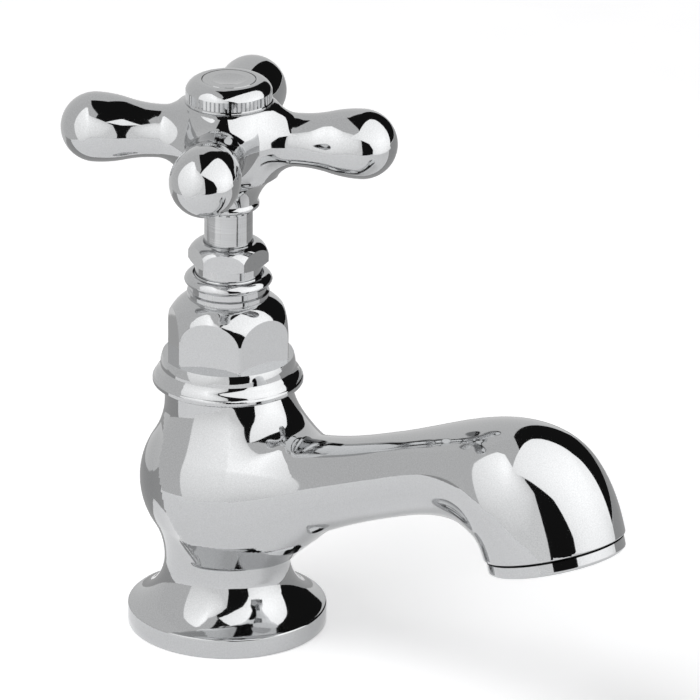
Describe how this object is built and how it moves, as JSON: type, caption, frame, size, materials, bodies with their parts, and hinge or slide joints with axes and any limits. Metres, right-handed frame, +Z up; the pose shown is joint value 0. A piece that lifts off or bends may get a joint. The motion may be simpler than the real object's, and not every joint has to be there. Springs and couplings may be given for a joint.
{
  "type": "cross handle pillar tap",
  "caption": "Chromed basin pillar tap: trumpet foot, bulbous body, downturned spout with an outlet ring, and a rising spindle valve worked by a four arm cross handle.",
  "frame": {"origin": "centre of the foot's underside, where the tap meets its deck", "axes": "+Z up along the spindle, +X along the spout towards its mouth"},
  "size_m": [0.1608, 0.073, 0.1924],
  "materials": {
    "chromed_brass": "polished chrome plate",
    "chromed_spindle": "fine turned chrome plate",
    "raw_brass": "machined",
    "fibre": "pressed fibre",
    "black_rubber": "moulded",
    "white_plastic": "moulded",
    "ptfe": "waxy",
    "steel": "brushed"
  },
  "bodies": {
    "tap": {"tap_body": "chromed_brass", "threaded_tail": "raw_brass", "tail_seal": "fibre", "deck_washer": "black_rubber", "backnut_washer": "white_plastic", "backnut": "raw_brass", "bonnet": "chromed_brass", "bonnet_washer": "fibre", "gland_washer": "raw_brass", "gland_packing": "ptfe", "gland_nut": "chromed_brass", "outlet_ring": "chromed_brass", "outlet_washer": "black_rubber", "aerator_insert": "white_plastic", "aerator_mesh": "steel"},
    "jumper": {"jumper_valve": "raw_brass", "tap_washer": "black_rubber", "washer_nut": "raw_brass"},
    "handle": {"spindle": "chromed_spindle", "cross_handle": "chromed_brass", "handle_screw": "steel", "screw_washer": "steel", "index_button": "chromed_brass", "index_disc": "chromed_brass"}
  },
  "joints": [
    {"name": "valve_lift", "type": "slide", "parent": "tap", "child": "jumper", "axis": [0, 0, 1], "range_m": [0, 0.0056]},
    {"name": "handle_turn", "type": "hinge", "parent": "jumper", "child": "handle", "pos_m": [0, 0, 0.1], "axis": [0, 0, 1], "range_deg": [0, 806]}
  ],
  "couplings": [
    {"joint": "valve_lift", "follows": "handle_turn", "m_per_rad": 0.00039789}
  ]
}
